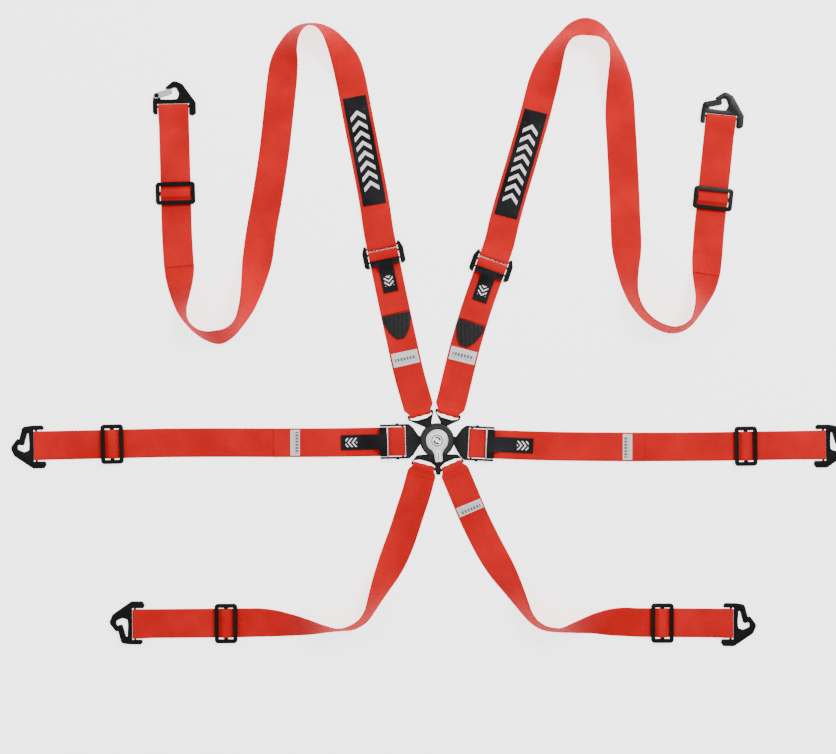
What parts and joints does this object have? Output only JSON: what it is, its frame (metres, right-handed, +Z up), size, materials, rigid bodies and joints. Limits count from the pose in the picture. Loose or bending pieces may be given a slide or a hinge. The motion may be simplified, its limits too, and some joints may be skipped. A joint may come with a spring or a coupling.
{
  "type": "racing harness",
  "caption": "Flat racing harness with a turn-lever buckle, shoulder, lap and crotch belts, adjusters, sliders and snap hooks that swing, slide and open",
  "frame": {"origin": "The middle of the flat back of the buckle, which lies on the ground with the whole harness spread flat round it.", "axes": "+Z is up, out of the front of the buckle. +Y runs from the buckle towards the shoulder belts, and -Y towards the crotch belts. +X runs along the lap belt on the viewer's right."},
  "size_m": [1.3932, 1.0469, 0.0504],
  "materials": {
    "red_webbing": "woven webbing",
    "black_webbing": "woven webbing",
    "black_steel": "satin black powder coat",
    "silver_metal": "satin",
    "badge": "brushed",
    "plain_steel": "plain",
    "housing_plastic": "fine texture"
  },
  "bodies": {
    "buckle": {"buckle_base_plate": "black_steel", "buckle_housing": "housing_plastic", "lap_adjuster_left_frame": "black_steel", "lap_adjuster_left_rod": "silver_metal", "lap_belt_left": "red_webbing"},
    "release_lever": {"release_lever": "silver_metal", "lever_badge": "badge", "spindle": "plain_steel"},
    "latch": {"latch_plate": "plain_steel"},
    "shoulder_left": {"shoulder_tongue_left": "black_steel", "shoulder_belt_lower_left": "red_webbing", "shoulder_adjuster_left_frame": "black_steel", "shoulder_belt_upper_left": "red_webbing", "shoulder_panel_left": "black_webbing", "shoulder_pull_left": "black_webbing"},
    "shoulder_right": {"shoulder_tongue_right": "black_steel", "shoulder_belt_lower_right": "red_webbing", "shoulder_adjuster_right_frame": "black_steel", "shoulder_belt_upper_right": "red_webbing", "shoulder_panel_right": "black_webbing", "shoulder_pull_right": "black_webbing"},
    "lap_right": {"lap_adjuster_right_frame": "black_steel", "lap_adjuster_right_rod": "silver_metal", "lap_belt_right": "red_webbing"},
    "crotch": {"crotch_tongue": "black_steel", "crotch_belt_left": "red_webbing", "crotch_belt_right": "red_webbing"},
    "lap_lever_left": {"lap_adjuster_left_lever": "black_steel", "lap_adjuster_left_tab": "black_webbing"},
    "shoulder_lever_left": {"shoulder_adjuster_left_lever": "black_steel", "shoulder_adjuster_left_tab": "black_webbing"},
    "lap_lever_right": {"lap_adjuster_right_lever": "black_steel", "lap_adjuster_right_tab": "black_webbing"},
    "shoulder_lever_right": {"shoulder_adjuster_right_lever": "black_steel", "shoulder_adjuster_right_tab": "black_webbing"},
    "slider_shoulder_left": {"slider_shoulder_left": "black_steel", "slider_turn_shoulder_left": "red_webbing"},
    "hook_shoulder_left": {"hook_shoulder_left": "black_steel"},
    "gate_shoulder_left": {"gate_shoulder_left": "silver_metal"},
    "slider_shoulder_right": {"slider_shoulder_right": "black_steel", "slider_turn_shoulder_right": "red_webbing"},
    "hook_shoulder_right": {"hook_shoulder_right": "black_steel"},
    "gate_shoulder_right": {"gate_shoulder_right": "black_steel"},
    "slider_lap_left": {"slider_lap_left": "black_steel", "slider_turn_lap_left": "red_webbing"},
    "hook_lap_left": {"hook_lap_left": "black_steel"},
    "gate_lap_left": {"gate_lap_left": "black_steel"},
    "slider_lap_right": {"slider_lap_right": "black_steel", "slider_turn_lap_right": "red_webbing"},
    "hook_lap_right": {"hook_lap_right": "black_steel"},
    "gate_lap_right": {"gate_lap_right": "black_steel"},
    "slider_crotch_left": {"slider_crotch_left": "black_steel", "slider_turn_crotch_left": "red_webbing"},
    "hook_crotch_left": {"hook_crotch_left": "black_steel"},
    "gate_crotch_left": {"gate_crotch_left": "black_steel"},
    "slider_crotch_right": {"slider_crotch_right": "black_steel", "slider_turn_crotch_right": "red_webbing"},
    "hook_crotch_right": {"hook_crotch_right": "black_steel"},
    "gate_crotch_right": {"gate_crotch_right": "black_steel"}
  },
  "joints": [
    {"name": "release_turn", "type": "hinge", "parent": "buckle", "child": "release_lever", "pos_m": [0, 0, 0.0166], "axis": [0, 0, -1], "range_deg": [0, 45], "stiffness_Nm_per_rad": 0.1},
    {"name": "latch_lift", "type": "slide", "parent": "buckle", "child": "latch", "axis": [0, 0, 1], "range_m": [0, 0.0032]},
    {"name": "shoulder_left_release", "type": "slide", "parent": "buckle", "child": "shoulder_left", "axis": [-0.515, 0.8572, 0], "range_m": [0, 0.035]},
    {"name": "shoulder_right_release", "type": "slide", "parent": "buckle", "child": "shoulder_right", "axis": [0.4067, 0.9135, 0], "range_m": [0, 0.035]},
    {"name": "lap_right_release", "type": "slide", "parent": "buckle", "child": "lap_right", "axis": [1, 0, 0], "range_m": [0, 0.035]},
    {"name": "crotch_release", "type": "slide", "parent": "buckle", "child": "crotch", "axis": [0, -1, 0], "range_m": [0, 0.035]},
    {"name": "lap_lever_left_tilt", "type": "hinge", "parent": "buckle", "child": "lap_lever_left", "pos_m": [-0.08199, -0.00258, 0.0082], "axis": [-0.0234, 0.9997, 0], "range_deg": [0, 35]},
    {"name": "shoulder_lever_left_tilt", "type": "hinge", "parent": "shoulder_left", "child": "shoulder_lever_left", "pos_m": [-0.08736, 0.29927, 0.0082], "axis": [-0.9792, -0.2029, 0], "range_deg": [0, 35]},
    {"name": "lap_lever_right_tilt", "type": "hinge", "parent": "lap_right", "child": "lap_lever_right", "pos_m": [0.08197, -0.00619, 0.0082], "axis": [-0.0478, -0.9989, 0], "range_deg": [0, 35]},
    {"name": "shoulder_lever_right_tilt", "type": "hinge", "parent": "shoulder_right", "child": "shoulder_lever_right", "pos_m": [0.08772, 0.28173, 0.0082], "axis": [-0.9441, 0.3296, 0], "range_deg": [0, 35]},
    {"name": "slider_shoulder_left_slide", "type": "slide", "parent": "shoulder_left", "child": "slider_shoulder_left", "axis": [-0.027, 0.9996, 0], "range_m": [-0.05, 0.078]},
    {"name": "hook_shoulder_left_swing", "type": "hinge", "parent": "shoulder_left", "child": "hook_shoulder_left", "pos_m": [-0.439, 0.555, 0.0044], "axis": [0.9996, 0.0279, 0], "range_deg": [-85, 85]},
    {"name": "gate_shoulder_left_open", "type": "hinge", "parent": "hook_shoulder_left", "child": "gate_shoulder_left", "pos_m": [-0.46631, 0.57285, 0.0044], "axis": [0, 0, -1], "range_deg": [0, 28], "stiffness_Nm_per_rad": 0.01},
    {"name": "slider_shoulder_right_slide", "type": "slide", "parent": "shoulder_right", "child": "slider_shoulder_right", "axis": [0.1039, 0.9946, 0], "range_m": [-0.045, 0.07]},
    {"name": "hook_shoulder_right_swing", "type": "hinge", "parent": "shoulder_right", "child": "hook_shoulder_right", "pos_m": [0.4725, 0.537, 0.0044], "axis": [0.9949, -0.1011, 0], "range_deg": [-85, 85]},
    {"name": "gate_shoulder_right_open", "type": "hinge", "parent": "hook_shoulder_right", "child": "gate_shoulder_right", "pos_m": [0.44772, 0.55821, 0.0044], "axis": [0, 0, -1], "range_deg": [0, 28], "stiffness_Nm_per_rad": 0.01},
    {"name": "slider_lap_left_slide", "type": "slide", "parent": "buckle", "child": "slider_lap_left", "axis": [-0.9997, -0.0226, 0], "range_m": [-0.04, 0.06]},
    {"name": "hook_lap_left_swing", "type": "hinge", "parent": "buckle", "child": "hook_lap_left", "pos_m": [-0.6665, -0.0095, 0.0044], "axis": [-0.0225, 0.9997, 0], "range_deg": [-85, 85]},
    {"name": "gate_lap_left_open", "type": "hinge", "parent": "hook_lap_left", "child": "gate_lap_left", "pos_m": [-0.6857, 0.01687, 0.0044], "axis": [0, 0, 1], "range_deg": [0, 28], "stiffness_Nm_per_rad": 0.01},
    {"name": "slider_lap_right_slide", "type": "slide", "parent": "lap_right", "child": "slider_lap_right", "axis": [0.9999, 0.0151, 0], "range_m": [-0.035, 0.06]},
    {"name": "hook_lap_right_swing", "type": "hinge", "parent": "lap_right", "child": "hook_lap_right", "pos_m": [0.6424, -0.008, 0.0044], "axis": [0.0151, -0.9999, 0], "range_deg": [-85, 85]},
    {"name": "gate_lap_right_open", "type": "hinge", "parent": "hook_lap_right", "child": "gate_lap_right", "pos_m": [0.66059, 0.01908, 0.0044], "axis": [0, 0, -1], "range_deg": [0, 28], "stiffness_Nm_per_rad": 0.01},
    {"name": "slider_crotch_left_slide", "type": "slide", "parent": "crotch", "child": "slider_crotch_left", "axis": [-1, -0.0072, 0], "range_m": [-0.012, 0.08]},
    {"name": "hook_crotch_left_swing", "type": "hinge", "parent": "crotch", "child": "hook_crotch_left", "pos_m": [-0.5024, -0.306, 0.0044], "axis": [-0.0086, 1, 0], "range_deg": [-85, 85]},
    {"name": "gate_crotch_left_open", "type": "hinge", "parent": "hook_crotch_left", "child": "gate_crotch_left", "pos_m": [-0.52077, -0.33296, 0.0044], "axis": [0, 0, -1], "range_deg": [0, 28], "stiffness_Nm_per_rad": 0.01},
    {"name": "slider_crotch_right_slide", "type": "slide", "parent": "crotch", "child": "slider_crotch_right", "axis": [1, -0.001, 0], "range_m": [-0.014, 0.055]},
    {"name": "hook_crotch_right_swing", "type": "hinge", "parent": "crotch", "child": "hook_crotch_right", "pos_m": [0.4886, -0.305, 0.0044], "axis": [-0.0078, -1, 0], "range_deg": [-85, 85]},
    {"name": "gate_crotch_right_open", "type": "hinge", "parent": "hook_crotch_right", "child": "gate_crotch_right", "pos_m": [0.50741, -0.27835, 0.0044], "axis": [0, 0, -1], "range_deg": [0, 28], "stiffness_Nm_per_rad": 0.01}
  ],
  "couplings": [
    {"joint": "latch_lift", "follows": "release_turn", "m_per_rad": 0.004}
  ]
}
